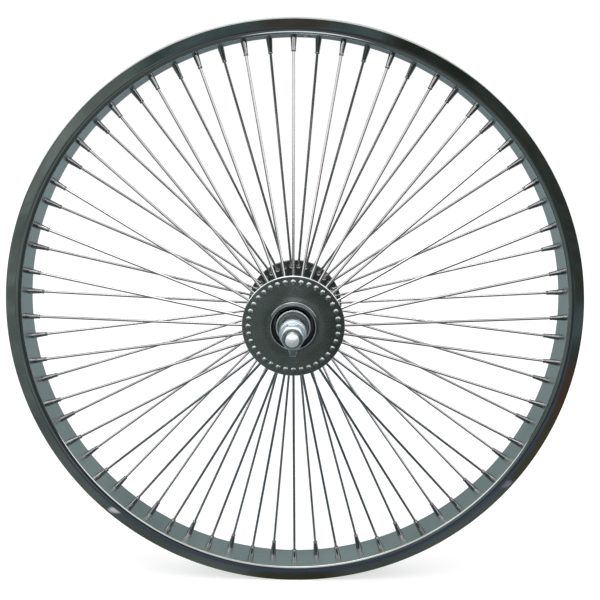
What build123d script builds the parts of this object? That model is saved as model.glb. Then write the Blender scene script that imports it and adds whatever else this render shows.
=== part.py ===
from build123d import *
import math
import os

# Front wheel of a bicycle without its tyre: chrome rim, radial spokes, wide flanged hub, nutted axle.
# Sizes are in millimetres. The origin is the wheel's centre and the axle lies along Y, near side at -Y.
# A "reach" is a distance from the wheel's mid-plane, the same on both sides.
# A ring's outline is a list of (radius, reach) corners that is turned round the axle.

# Rim, from the radius on which the tyre's bead sits
BEAD_SEAT_RADIUS = 203.0
RIM_EDGE_HEIGHT = 7.5
RIM_FACE_DEPTH = 3.8
RIM_WIDTH = 28.0
RIM_SIDE_WALL = 1.6
RIM_FLOOR = 1.5
RIM_CORNER = 2.2
WELL_WIDTH = 18.0
VALVE_HOLE = 8.5

# Spokes and nipples. They repeat, so their sections are polygons with few sides.
SPOKES_PER_FLANGE = 36
SPOKE_SIDES = 4
SPOKE_WIDTH = 1.9
SPOKE_HEAD_WIDTH = 3.9
SPOKE_HEAD_HEIGHT = 1.2
SPOKE_CIRCLE_RADIUS = 32.0
SPOKE_HOLE_CLEARANCE = 0.1
NIPPLE_SIDES = 4
NIPPLE_MOUTH_WIDTH = 3.2
NIPPLE_HEAD_WIDTH = 5.2
NIPPLE_SHOWN = 11.0
NIPPLE_HIDDEN = 4.2
NIPPLE_ROW_REACH = 4.4
NIPPLE_HOLE_CLEARANCE = 0.04

# Hub shell
FLANGE_RADIUS = 36.5
FLANGE_REACH = 33.5
FLANGE_THICKNESS = 2.5
LIP_WALL = 2.7
LIP_OVERHANG = 2.1
LIP_HEIGHT = 3.2
BARREL_RADIUS = 15.0
BARREL_BORE_RADIUS = 13.6
PRESS_CLEARANCE = 0.02

# Bearings, placed from the flange's outer face
BALL_DIAMETER = 4.76
BALLS_PER_SIDE = 10
BALL_SIDES = 5
BALL_CAP_ANGLE = 50.0
BALL_CIRCLE_RADIUS = 10.0
BALL_DEPTH = 4.5
BALL_CLEARANCE = 0.1
CUP_BACK_RADIUS = 10.2
CONE_RADIUS = 8.3

# Axle and what is screwed onto it
AXLE_DIAMETER = 9.53
AXLE_LENGTH = 146.0
AXLE_CHAMFER = 1.2
AXLE_CENTRE_DIAMETER = 4.0
AXLE_CENTRE_DEPTH = 1.6
THREAD_CLEARANCE = 0.1
DUST_CAP_DIAMETER = 24.6
DUST_CAP_THICKNESS = 1.4
DUST_CAP_RISE = 2.4
DUST_CAP_CLEARANCE = 0.05
LOCKNUT_WIDTH = 15.0
LOCKNUT_HEIGHT = 5.0
LOCKNUT_REACH = 46.0
DROPOUT_GAP = 4.2
WASHER_DIAMETER = 19.0
WASHER_THICKNESS = 1.8
TAB_LENGTH = 16.7
TAB_ROOT_WIDTH = 11.6
TAB_TIP_WIDTH = 3.9
TAB_HOOK = 3.2
NUT_WIDTH = 15.0
NUT_HEIGHT = 14.0
NUT_FLANGE_DIAMETER = 18.2
NUT_FLANGE_THICKNESS = 2.2
NUT_SIDES = 6

# Length of a hole's cutter in thicknesses of its wall: one inside and one beyond each face
CUTTER_RUN = 3

# Sizes that follow from those above
RIM_RADIUS = BEAD_SEAT_RADIUS + RIM_EDGE_HEIGHT
RIM_FACE_RADIUS = BEAD_SEAT_RADIUS - RIM_FACE_DEPTH
FLANGE_INNER_REACH = FLANGE_REACH - FLANGE_THICKNESS
BALL_REACH = FLANGE_REACH - BALL_DEPTH
DUST_CAP_REACH = FLANGE_REACH + DUST_CAP_RISE
NIPPLE_LENGTH = NIPPLE_SHOWN + NIPPLE_HIDDEN
SPOKE_PITCH = 360.0 / SPOKES_PER_FLANGE
SPOKE_BEND_REACH = FLANGE_INNER_REACH - SPOKE_WIDTH / 2 - SPOKE_HOLE_CLEARANCE
THREAD_RADIUS = AXLE_DIAMETER / 2 + THREAD_CLEARANCE
WASHER_REACH = LOCKNUT_REACH + DROPOUT_GAP
NUT_REACH = WASHER_REACH + WASHER_THICKNESS
BALL_CONTACT = (BALL_DIAMETER / 2 + BALL_CLEARANCE) * math.sqrt(2)
LIP_RADIUS = BARREL_RADIUS + LIP_OVERHANG
LIP_BORE_RADIUS = LIP_RADIUS - LIP_WALL
SIDE = {"near": -1, "far": 1}
FIRST_SPOKE = {"near": 0.0, "far": SPOKE_PITCH / 2}


def turned(outline, side=1):
    """Ring or shaft: an outline of (radius, reach) corners turned round the axle."""
    corners = [(radius, side * reach) for radius, reach in outline]
    return revolve(make_face(Polyline(*corners, close=True)), Axis.Y)


def mirrored(outline):
    """Outline of a piece that is alike on both sides, from the corners on one side."""
    return outline + [(radius, -reach) for radius, reach in reversed(outline)]


def corners(width, sides, plane):
    """Corners of the regular polygon of the given width over its flats."""
    radius = width / 2 / math.cos(math.pi / sides)
    angles = [math.pi * (2 * index + 1) / sides for index in range(sides)]
    return [plane.from_local_coords((radius * math.cos(a), radius * math.sin(a), 0)) for a in angles]


def flat(*outline):
    """Flat face with straight edges."""
    return Face(Wire.make_polygon(outline, close=True))


def tapered(start_width, end_width, length, sides, plane):
    """Flat-sided prism whose width over its flats changes evenly along its length."""
    start = corners(start_width, sides, plane)
    end = corners(end_width, sides, plane.offset(length))
    walls = [flat(start[i - 1], start[i], end[i], end[i - 1]) for i in range(sides)]
    return Solid(Shell([flat(*start), flat(*end), *walls]))


def point(radius, reach, side):
    """Point above the axle, before it is turned to its place round the wheel."""
    return Vector(0, side * reach, radius)


def axial_plane(radius, reach, side):
    """Plane across a pin that lies along the axle's direction and points outwards."""
    return Plane(point(radius, reach, side), x_dir=(1, 0, 0), z_dir=(0, side, 0))


def spoke_line(side):
    """Bend of the upright spoke, its crossing of the rim's inner face, and its direction."""
    bend = point(SPOKE_CIRCLE_RADIUS, SPOKE_BEND_REACH, side)
    crossing = point(RIM_FACE_RADIUS, NIPPLE_ROW_REACH, side)
    return bend, crossing, (crossing - bend).normalized()


def round_the_wheel(shape, first, count):
    """Copies of an upright shape, turned clockwise as seen from the near side."""
    return [Rot(0, first + index * 360 / count, 0) * shape for index in range(count)]


def upright_spoke(side):
    """Spoke with a bent neck that passes through the flange and ends in a flared head."""
    bend, crossing, direction = spoke_line(side)
    mouth = crossing - direction * NIPPLE_SHOWN
    seat = axial_plane(SPOKE_CIRCLE_RADIUS, FLANGE_REACH, side)
    path = Polyline(mouth, bend, seat.origin)
    section = flat(*corners(SPOKE_WIDTH, SPOKE_SIDES, Plane(mouth, x_dir=(1, 0, 0), z_dir=-direction)))
    wire = sweep(section, path=path, transition=Transition.RIGHT)
    head = tapered(SPOKE_WIDTH, SPOKE_HEAD_WIDTH, SPOKE_HEAD_HEIGHT, SPOKE_SIDES, seat)
    return wire + head


def spoke_holes(name):
    """Cutters for one flange's ring of spoke holes."""
    side = SIDE[name]
    start = axial_plane(SPOKE_CIRCLE_RADIUS, FLANGE_INNER_REACH - FLANGE_THICKNESS, side)
    width = SPOKE_WIDTH + 2 * SPOKE_HOLE_CLEARANCE
    cutter = tapered(width, width, CUTTER_RUN * FLANGE_THICKNESS, SPOKE_SIDES, start)
    return round_the_wheel(cutter, FIRST_SPOKE[name], SPOKES_PER_FLANGE)


def nipple_mouth(side):
    """Plane across the hub end of the upright nipple."""
    _, crossing, direction = spoke_line(side)
    return Plane(crossing - direction * NIPPLE_SHOWN, x_dir=(1, 0, 0), z_dir=direction)


def upright_nipple(side):
    """Tapered nipple, wider towards the tyre, so that the spoke's pull seats it in the rim."""
    return tapered(NIPPLE_MOUTH_WIDTH, NIPPLE_HEAD_WIDTH, NIPPLE_LENGTH, NIPPLE_SIDES, nipple_mouth(side))


def nipple_hole(side):
    """Cutter for the upright nipple's tapered hole."""
    mouth = nipple_mouth(side)
    room = 2 * NIPPLE_HOLE_CLEARANCE
    hub_end = flat(*corners(NIPPLE_MOUTH_WIDTH + room, NIPPLE_SIDES, mouth))
    tyre_end = flat(*corners(NIPPLE_HEAD_WIDTH + room, NIPPLE_SIDES, mouth.offset(NIPPLE_LENGTH)))
    return loft([hub_end, tyre_end], ruled=True)


def rim():
    """Rolled hoop of U section with bead seats, nipple holes and a valve hole."""
    half = RIM_WIDTH / 2
    channel = half - RIM_SIDE_WALL
    section = [
        (RIM_FACE_RADIUS, half - RIM_CORNER),
        (RIM_FACE_RADIUS + RIM_CORNER, half),
        (RIM_RADIUS, half),
        (RIM_RADIUS, channel),
        (BEAD_SEAT_RADIUS, channel),
        (RIM_FACE_RADIUS + RIM_FLOOR, WELL_WIDTH / 2),
    ]
    hoop = turned(mirrored(section))
    cutters = []
    for name, side in SIDE.items():
        cutters += round_the_wheel(nipple_hole(side), FIRST_SPOKE[name], SPOKES_PER_FLANGE)
    valve = Plane((0, 0, RIM_FACE_RADIUS - RIM_FLOOR)) * Cylinder(
        VALVE_HOLE / 2, CUTTER_RUN * RIM_FLOOR, align=(Align.CENTER, Align.CENTER, Align.MIN))
    cutters.append(Rot(0, SPOKE_PITCH / 4, 0) * valve)
    return hoop - cutters


def flange(name):
    """Pressed hub flange: a disc with a ring of spoke holes and a raised lip over the barrel's end."""
    bore = BARREL_RADIUS + PRESS_CLEARANCE
    barrel_end = FLANGE_REACH + PRESS_CLEARANCE
    lip_end = FLANGE_REACH + LIP_HEIGHT
    disc = turned([
        (bore, FLANGE_INNER_REACH),
        (FLANGE_RADIUS, FLANGE_INNER_REACH),
        (FLANGE_RADIUS, FLANGE_REACH),
        (LIP_RADIUS, FLANGE_REACH),
        (LIP_RADIUS, lip_end),
        (LIP_BORE_RADIUS, lip_end),
        (LIP_BORE_RADIUS, barrel_end),
        (bore, barrel_end),
    ], SIDE[name])
    return disc - spoke_holes(name)


def hub_barrel():
    """Tube between the flanges, which are pressed onto its ends."""
    return turned(mirrored([(BARREL_RADIUS, FLANGE_REACH), (BARREL_BORE_RADIUS, FLANGE_REACH)]))


def race_reach(radius, inner):
    """Reach at which a 45 degree race has the given radius, on the cone or in the cup."""
    contact = -BALL_CONTACT if inner else BALL_CONTACT
    return BALL_REACH + radius - BALL_CIRCLE_RADIUS - contact


def bearing_cup(side):
    """Cup pressed into the barrel, with a race that opens outwards."""
    outside = BARREL_BORE_RADIUS - PRESS_CLEARANCE
    return turned([
        (outside, race_reach(CUP_BACK_RADIUS, False)),
        (outside, race_reach(outside, False)),
        (CUP_BACK_RADIUS, race_reach(CUP_BACK_RADIUS, False)),
    ], side)


def bearing_balls(side):
    """Ring of balls, each drawn with few faces inside the true ball."""
    middle = BALL_DIAMETER * math.cos(math.pi / BALL_SIDES)
    cap = middle * math.cos(math.radians(BALL_CAP_ANGLE))
    height = BALL_DIAMETER / 2 * math.sin(math.radians(BALL_CAP_ANGLE))
    centre = point(BALL_CIRCLE_RADIUS, BALL_REACH, side)
    outer_half = tapered(middle, cap, height, BALL_SIDES, Plane(centre, x_dir=(1, 0, 0), z_dir=(0, 0, 1)))
    inner_half = tapered(middle, cap, height, BALL_SIDES, Plane(centre, x_dir=(1, 0, 0), z_dir=(0, 0, -1)))
    return round_the_wheel(outer_half + inner_half, 0.0, BALLS_PER_SIDE)


def cone(side):
    """Cone screwed onto the axle, with a race on its inner end."""
    back = LOCKNUT_REACH - LOCKNUT_HEIGHT
    return turned([
        (THREAD_RADIUS, race_reach(THREAD_RADIUS, True)),
        (CONE_RADIUS, race_reach(CONE_RADIUS, True)),
        (CONE_RADIUS, back),
        (THREAD_RADIUS, back),
    ], side)


def dust_cap(side):
    """Flat ring on the cone that closes the barrel's mouth."""
    bore = CONE_RADIUS + DUST_CAP_CLEARANCE
    inner = DUST_CAP_REACH - DUST_CAP_THICKNESS
    return turned([
        (bore, inner),
        (DUST_CAP_DIAMETER / 2, inner),
        (DUST_CAP_DIAMETER / 2, DUST_CAP_REACH),
        (bore, DUST_CAP_REACH),
    ], side)


def hexagon(width, start, height, side):
    """Hexagon bar along the axle, from the given reach outwards, with its upper side flat."""
    plane = Plane(point(0, start, side), x_dir=(0, 0, 1), z_dir=(0, side, 0))
    return tapered(width, width, height, NUT_SIDES, plane)


def thread_bore(start, height, side):
    """Cutter for a threaded hole on the axle."""
    plane = axial_plane(0, start, side)
    return extrude(plane * Circle(THREAD_RADIUS), height)


def locknut(side):
    """Hexagon nut that locks the cone; the fork end bears on its outer face."""
    start = LOCKNUT_REACH - LOCKNUT_HEIGHT
    bore = thread_bore(start, LOCKNUT_HEIGHT, side)
    return hexagon(LOCKNUT_WIDTH, start, LOCKNUT_HEIGHT, side) - bore


def tab_washer(side):
    """Washer with a tab that hangs down and hooks inwards, to catch in the fork end."""
    plane = axial_plane(0, WASHER_REACH, side)
    root = TAB_ROOT_WIDTH / 2
    tip = TAB_TIP_WIDTH / 2
    tab = make_face(Polyline(
        (-root, 0, 0), (root, 0, 0), (tip, 0, -TAB_LENGTH), (-tip, 0, -TAB_LENGTH), close=True))
    ring = extrude(plane * Circle(WASHER_DIAMETER / 2), WASHER_THICKNESS)
    strip = extrude(Pos(0, side * WASHER_REACH, 0) * tab, WASHER_THICKNESS, dir=(0, side, 0))
    hook = Pos(0, side * (WASHER_REACH - TAB_HOOK / 2), -TAB_LENGTH + WASHER_THICKNESS / 2) * Box(
        TAB_TIP_WIDTH, TAB_HOOK, WASHER_THICKNESS)
    return ring + strip + hook - thread_bore(WASHER_REACH, WASHER_THICKNESS, side)


def axle_nut(side):
    """Tall hexagon nut with a round flange against the tab washer."""
    plane = axial_plane(0, NUT_REACH, side)
    collar = extrude(plane * Circle(NUT_FLANGE_DIAMETER / 2), NUT_FLANGE_THICKNESS)
    bar = hexagon(NUT_WIDTH, NUT_REACH, NUT_HEIGHT, side)
    return collar + bar - thread_bore(NUT_REACH, NUT_HEIGHT, side)


def axle():
    """Solid axle with chamfered, centre-drilled ends."""
    radius = AXLE_DIAMETER / 2
    tip = AXLE_LENGTH / 2
    return turned(mirrored([
        (radius, tip - AXLE_CHAMFER),
        (radius - AXLE_CHAMFER, tip),
        (AXLE_CENTRE_DIAMETER / 2, tip),
        (0, tip - AXLE_CENTRE_DEPTH),
    ]))


def both_sides(make):
    """One piece for each side of the wheel."""
    return [make(side) for side in SIDE.values()]


def pieces():
    """Every node's name with the solids that it holds."""
    nodes = {
        "rim": [rim()],
        "hub_barrel": [hub_barrel()],
        "axle": [axle()],
        "locknuts": both_sides(locknut),
        "tab_washers": both_sides(tab_washer),
        "axle_nuts": both_sides(axle_nut),
    }
    for name, side in SIDE.items():
        first = FIRST_SPOKE[name]
        nodes[f"{name}_spokes"] = round_the_wheel(upright_spoke(side), first, SPOKES_PER_FLANGE)
        nodes[f"{name}_nipples"] = round_the_wheel(upright_nipple(side), first, SPOKES_PER_FLANGE)
        nodes[f"{name}_flange"] = [flange(name)]
        nodes[f"{name}_bearing_cup"] = [bearing_cup(side)]
        nodes[f"{name}_bearing_balls"] = bearing_balls(side)
        nodes[f"{name}_cone"] = [cone(side)]
        nodes[f"{name}_dust_cap"] = [dust_cap(side)]
    return nodes


os.makedirs("parts", exist_ok=True)
for node, shapes in pieces().items():
    solids = [solid for shape in shapes for solid in shape.solids()]
    export_step(Compound(solids) if len(solids) > 1 else solids[0], f"parts/{node}.step")
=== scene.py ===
import math

import bmesh
import bpy
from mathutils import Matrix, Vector


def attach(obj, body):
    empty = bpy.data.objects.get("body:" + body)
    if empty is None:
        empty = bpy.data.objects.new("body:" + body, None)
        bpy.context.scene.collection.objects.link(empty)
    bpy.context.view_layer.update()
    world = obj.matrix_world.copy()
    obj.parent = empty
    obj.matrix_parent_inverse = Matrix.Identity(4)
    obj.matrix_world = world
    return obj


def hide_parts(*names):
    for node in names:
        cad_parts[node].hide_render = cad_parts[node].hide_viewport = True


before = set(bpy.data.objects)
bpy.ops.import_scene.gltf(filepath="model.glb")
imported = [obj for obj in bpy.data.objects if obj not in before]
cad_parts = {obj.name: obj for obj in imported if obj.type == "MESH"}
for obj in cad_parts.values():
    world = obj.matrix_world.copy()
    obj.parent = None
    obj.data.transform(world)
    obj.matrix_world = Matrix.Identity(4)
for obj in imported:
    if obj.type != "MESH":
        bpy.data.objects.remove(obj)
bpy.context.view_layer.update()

# The wheel's sizes are in millimetres, the same as the solids', and its meshes are scaled to metres.
# A reach is a distance from the wheel's mid-plane, and an outline is a list of (radius, reach) points.
# An edge is a list of (inset, depth) points of a round edge: how far in from its side and below its face.
# A line, a shade or a slack is a width where one tone ends: lines edge painted highlights, a shade painted
# shade.
MM = 0.001
WELD_DISTANCE = 1e-7
SMOOTH_ANGLE = math.radians(40)
ROUND_SHARE = 0.49
ACROSS = Vector((1, 0, 0))
ALONG = Vector((0, 1, 0))
UP = Vector((0, 0, 1))
SIDE = {"near": -1, "far": 1}
FIRST_SPOKE = {"near": 0.0, "far": 5.0}
SPOKES_PER_FLANGE = 36

# Rim
RIM_RADIUS = 210.5
RIM_FACE_RADIUS = 199.2
RIM_HALF_WIDTH = 14.0
RIM_CHANNEL = 12.4
RIM_FLOOR_RADIUS = 200.7
RIM_CORNER_DEPTH = 1.7
RIM_CORNER_HEIGHT = 2.1
RIM_BEND_HEIGHT = 4.6
RIM_BEND_DEPTH = 0.42
RIM_WALL_CROWN = 0.02
RIM_FACE_CROWN = 0.2
RIM_EDGE_ROUND = 0.4
BEAD_SEAT_RADIUS = 203.0
BEAD_SEAT_ROUND = 1.0
WELL_HALF_WIDTH = 9.0
WELL_ROUND = 1.2
SLANT_RISE = 0.6
SLANT_RUN = 0.9
RIM_BEND_STEPS = 8
RIM_WALL_STEPS = 6
RIM_WELL_STEPS = 5
RIM_SEGMENTS = 288
VALVE_HOLE_RADIUS = 4.25
VALVE_CLOCK = 2.5
VALVE_SIDES = 48
VALVE_OVERCUT = 2.0

# Spokes and nipples; a head's outline is (radius, height), a nipple's is (radius, distance from its mouth)
SPOKE_RADIUS = 0.95
SPOKE_CIRCLE_RADIUS = 32.0
SPOKE_BEND_REACH = 29.95
SPOKE_BEND_RADIUS = 2.2
SPOKE_BEND_STEPS = 8
SPOKE_SIDES = 14
SPOKE_IN_NIPPLE = 4.0
SPOKE_RING_GAP = 40.0
SPOKE_END_DEPTH = 0.2
SPOKE_HEAD_HEIGHT = 1.2
SPOKE_HEAD = [(1.25, -0.1), (1.8, 0.12), (1.95, 0.34), (1.88, 0.6), (1.6, 0.86), (1.15, 1.05), (0.6, 1.16)]
NIPPLE_ROW_REACH = 4.4
NIPPLE_SHOWN = 10.8
NIPPLE_SIDES = 20
NIPPLE_OUTLINE = [
    (1.0, 0.25), (1.25, 0.0), (1.45, 0.08), (1.6, 0.3), (1.66, 0.6), (1.6, 0.95), (1.48, 1.2),
    (1.5, 1.6), (1.72, 4.0), (1.98, 7.0), (2.22, 9.8), (2.3, 10.8), (2.32, 12.5), (2.5, 14.0),
    (2.45, 14.6), (2.0, 15.0), (1.2, 15.0), (1.1, 14.7)]

# Hub; the eyelet's outline is (radius, height over the flange)
FLANGE_RADIUS = 36.5
FLANGE_REACH = 33.5
FLANGE_INNER_REACH = 31.0
FLANGE_ROUND = 0.9
FLANGE_SHADE = 0.2
FLANGE_LINE_WIDTH = 0.5
LIP_RADIUS = 17.1
LIP_BORE_RADIUS = 14.4
LIP_REACH = 36.7
LIP_BEVEL = 1.5
LIP_FUNNEL = 2.4
LIP_FOOT_ROUND = 0.9
LIP_ROUND = 0.6
LIP_BEVEL_ROUND = 0.5
LIP_BORE_ROUND = 0.3
LIP_LINE_WIDTH = 0.15
LIP_LINE_DEPTH = 0.4
GROOVE_WIDTH = 4.6
GROOVE_DEPTH = 0.3
GROOVE_ROUND = 40.0
EYELET_OUTLINE = [(1.85, 0.0), (1.85, 0.32), (1.65, 0.3), (1.05, 0.02)]
EYELET_START = 0.01
EYELET_SIDES = 18
BARREL_RADIUS = 15.0
BARREL_BORE_RADIUS = 13.6
BARREL_GAP = 0.02
HUB_SEGMENTS = 144
HUB_ROUND_STEPS = 8
FACE_SLACK = 0.1

# Bearings and dust caps
BALL_RADIUS = 2.38
BALLS_PER_SIDE = 10
BALL_CIRCLE_RADIUS = 10.0
BALL_REACH = 29.0
BALL_RINGS = 12
BALL_SIDES = 20
RACE_RADIUS = 2.46
RACE_START = 15.0
RACE_SWEEP = 60.0
RACE_STEPS = 6
CUP_FLOOR = [(10.2, 25.69), (10.6, 25.9)]
CUP_WALL = [(13.0, 29.07), (13.58, 29.07), (13.58, 25.69)]
CONE_RADIUS = 8.3
CONE_REACH = 41.0
CONE_NOSE_REACH = 27.4
CONE_RACE_FOOT = (6.6, 28.3)
CONE_SHOULDER_REACH = 32.4
CONE_CHAMFER = 0.5
CAP_RADIUS = 12.3
CAP_BORE_RADIUS = 8.35
CAP_INNER_REACH = 34.5
CAP_REACH = 35.9
CAP_ROUND = 0.68
CAP_ROUND_STEPS = 6
CAP_FLAT_WIDTH = 1.2
CAP_FLAT_ROUND = 0.4
CAP_DISH_INSET = 1.8
CAP_DISH_DEPTH = 0.35
CAP_DISH_ROUND = 0.3
CAP_BORE_DEPTH = 0.2
CAP_BORE_ROUND = 0.1
CAP_LINE_WIDTH = 0.95

# Axle; the outline of its end is (radius, place along the axle from the end)
AXLE_RADIUS = 4.765
AXLE_REACH = 73.0
AXLE_PLAIN_REACHES = [0.0, 40.0]
AXLE_SEGMENTS = 48
AXLE_END_LENGTH = 2.1
AXLE_END = [
    (4.6, -2.05), (4.45, -1.92), (4.2, -1.75), (3.7, -1.42), (3.0, -1.0), (2.3, -0.62), (1.7, -0.34),
    (1.2, -0.13), (0.9, -0.02), (0.75, 0.0), (0.6, -0.06), (0.2, -0.5)]
THREAD_PITCH = 0.98
THREAD_DEPTH = 0.5
THREAD_START = 44.5
THREAD_STOP = 2.0
THREAD_RUN_IN = 1.0
THREAD_RUN_OUT = 0.8
THREAD_SHARPNESS = 1.4
THREAD_STEPS = 8

# Nuts; corner and faces of a hexagon are shares of the distance to its flat sides
NUT_BORE_RADIUS = 4.865
HEX_FLAT_RADIUS = 7.5
HEX_SECTOR = 360 / 6
HEX_CORNER = 1.135
HEX_CHAMFER_START = 0.985
HEX_CHAMFER_SLOPE = 0.62
LOCKNUT_INNER_REACH = 41.0
LOCKNUT_REACH = 46.0
LOCKNUT_SINK = 0.5
NUT_REACH = 66.0
NUT_FACE = 0.93
NUT_SINK = 0.6
NUT_TOP_EDGE = [(0.0, 0.45), (0.22, 0.2)]
NUT_COLLAR_RADIUS = 9.1
NUT_COLLAR_REACH = 54.2
COLLAR_FOOT_EDGE = [(0.5, 0.0), (0.12, 0.2), (0.0, 0.6)]
COLLAR_TOP_EDGE = [(0.0, 0.9), (0.15, 0.4)]
COLLAR_SHOULDER_INSET = 0.5
COLLAR_SHOULDER_DEPTH = 0.1
HEX_FOOT_HEIGHT = 0.4

# Tab washers; the tab hangs straight down, and clock angles beside it are degrees from its middle
WASHER_RADIUS = 9.5
WASHER_REACH = 50.2
WASHER_OUTER_REACH = 52.0
WASHER_SINK = 0.25
WASHER_BACK_EDGE = [(0.3, 0.0), (0.08, 0.1), (0.0, 0.35)]
WASHER_FRONT_EDGE = [(0.0, 0.45), (0.1, 0.15), (0.4, 0.0)]
WASHER_CLOCK_STEP = 4
WASHER_LINE_START = 0.05
WASHER_LINE_STOP = 0.02
TAB_CLOCK = 180
TAB_CLOCK_SPAN = 20
TAB_LIMIT = math.radians(60)
TAB_TIP_SHARES = [0.0, 0.6, 0.94, 0.985, 1.0, 1.03, 1.1, 1.3]
TAB_ROOT_CLOCKS = [10.5, 12.0, 13.5, 14.6, 15.2, 16.0, 17.5]
TAB_LENGTH = 16.7
TAB_THICKNESS = 1.8
TAB_ROOT_HALF = 5.8
TAB_TIP_HALF = 1.95
TAB_ROUND = 0.3
TAB_ROUND_STEPS = 3
TAB_HOOK = 3.2
TAB_HOOK_EDGE = [(0.0, 0.4), (0.1, 0.1), (0.3, 0.0)]

# Camera, floor, sky and lamp; places are in metres
CAMERA_PLACE = Vector((0.01161, -0.59475, 0.14511))
CAMERA_AIM = Vector((-0.01192, 0.97572, -0.21869))
CAMERA_LENS = 49.244
CAMERA_SENSOR = 36
CAMERA_CLIP = 0.01
WHITE = (1, 1, 1, 1)
FLOOR_HEIGHT = -0.2105
FLOOR_ENDS = (-6, 6)
FLOOR_TONE = (0.6, 0.6, 0.6, 1)
FLOOR_ROUGHNESS = 0.9
FLOOR_GLOW = 0.6
SKY_LEVELS = (0.8, 1.0)
LAMP_PLACE = Vector((-0.3, -0.5, 1.9))
LAMP_SIZE = 1.2
LAMP_POWER = 12

# Cards that the plating mirrors; places are in metres
CARD_HEIGHT = FLOOR_HEIGHT + 0.0001
ROOM_ENDS = (-3, 3)
FRONT = -3.0
BACK = 1.1
BAND_TOP = 0.7
BACK_TOP = 0.55
BACK_SPLIT = BACK_TOP * 0.5
ROOF_FRONT = 0.25
ROOF_HEIGHT = 1.5
SIDE_X = 2.0
SIDE_TOP = 0.5
TONE_CHANGE = (-0.1, 0.3)
GROUND_CHANGE = (-0.14, 0.12)
FOOT_BEND = 3.85
FOOT_NEAR = (-0.0185, -0.033)
FOOT_FAR = (-0.4, -0.2)
SPOT_CORE = 0.4
MOTTLE_SCALE = 5.0
MOTTLE_LEVELS = (0.65, 1.35)

# Bright cards: ends of their sides, middle and edge of the glow, and its strength; places are in metres
LAMP_TONE = (0.92, 0.96, 1.0, 1)
FILL_Y = -0.2
FILL_X = (0.04, -0.04)
FILL_Z = (0.01, 0.09)
FILL_MIDDLE = (0, FILL_Y, 0.06)
FILL_FADE = (0.018, 0.03)
FILL_STRENGTH = 1.35
SIDE_LAMP_X = 2.2
SIDE_LAMP_Y = (-3, 0.6)
SIDE_LAMP_Z = (0.5, 2.6)
SIDE_LAMP_MIDDLE = (-1.2, 1.7)
SIDE_LAMP_FADE = (1.2, 1.8)
SIDE_LAMP_STRENGTH = 1.75
OVERHEAD_HEIGHT = 2.6
OVERHEAD_X = (-1.6, 1.6)
OVERHEAD_Y = (1.0, -2.2)
OVERHEAD_MIDDLE = (0, -0.6, OVERHEAD_HEIGHT)
OVERHEAD_FADE = (1.0, 1.5)
OVERHEAD_STRENGTH = 1.7

# Tones of the cards
SLATE = (0.15, 0.185, 0.17)
PALE_SLATE = (0.19, 0.22, 0.21)
DARK = (0.045, 0.054, 0.047)
NEAR_DARK = (0.11, 0.13, 0.122)
OLIVE = (0.058, 0.058, 0.038)
BROWN = (0.095, 0.062, 0.045)
UMBER = (0.067, 0.060, 0.052)
BRONZE = (0.087, 0.08, 0.05)
NAVY = (0.055, 0.06, 0.085)
GLOOM = (0.047, 0.05, 0.055)
NIGHT = (0.025, 0.032, 0.026)
TEAL = (0.07, 0.10, 0.098)
PALE = (0.8, 0.8, 0.82)
HAZE = (0.28, 0.28, 0.36)
FOOT_BLUE = (0.07, 0.095, 0.14)
BACK_DIM = (0.15, 0.18, 0.20)
BACK_LOW = (0.33, 0.41, 0.42)
BACK_HIGH = (0.29, 0.38, 0.37)
BACK_GLOW = (0.46, 0.57, 0.57)

# Soft spots on the cards: place, radius and tone
GROUND_SPOTS = [
    ((0.0, -2.2, CARD_HEIGHT), 1.1, GLOOM),
    ((0.0, -0.12, CARD_HEIGHT), 0.34, NEAR_DARK),
    ((0.476, -0.85, CARD_HEIGHT), 0.25, TEAL),
    ((0.34, -0.47, CARD_HEIGHT), 0.18, BROWN),
    ((0.25, -0.27, CARD_HEIGHT), 0.12, BRONZE),
    ((0.0, -0.015, CARD_HEIGHT), 0.05, OLIVE),
    ((-0.1674, -0.1287, CARD_HEIGHT), 0.0095, PALE),
    ((0.2044, -0.188, CARD_HEIGHT), 0.014, HAZE),
]
BAND_SPOTS = [
    ((-1.2, FRONT, -0.1), 0.6, PALE_SLATE),
    ((0.0, FRONT, 0.0), 0.45, NAVY),
    ((-0.45, FRONT, 0.43), 0.42, TEAL),
    ((0.55, FRONT, 0.33), 0.3, NIGHT),
    ((-0.06, FRONT, 0.54), 0.22, UMBER),
    ((0.23, FRONT, 0.5), 0.16, TEAL),
]
BACK_SPOTS = [
    ((0.0, BACK, 0.0), 0.3, BACK_DIM),
    ((-0.1, BACK, 0.1), 0.22, BACK_DIM),
]
HIGH_SPOTS = [((0.0, BACK, 0.37), 0.4, BACK_GLOW)]

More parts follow.
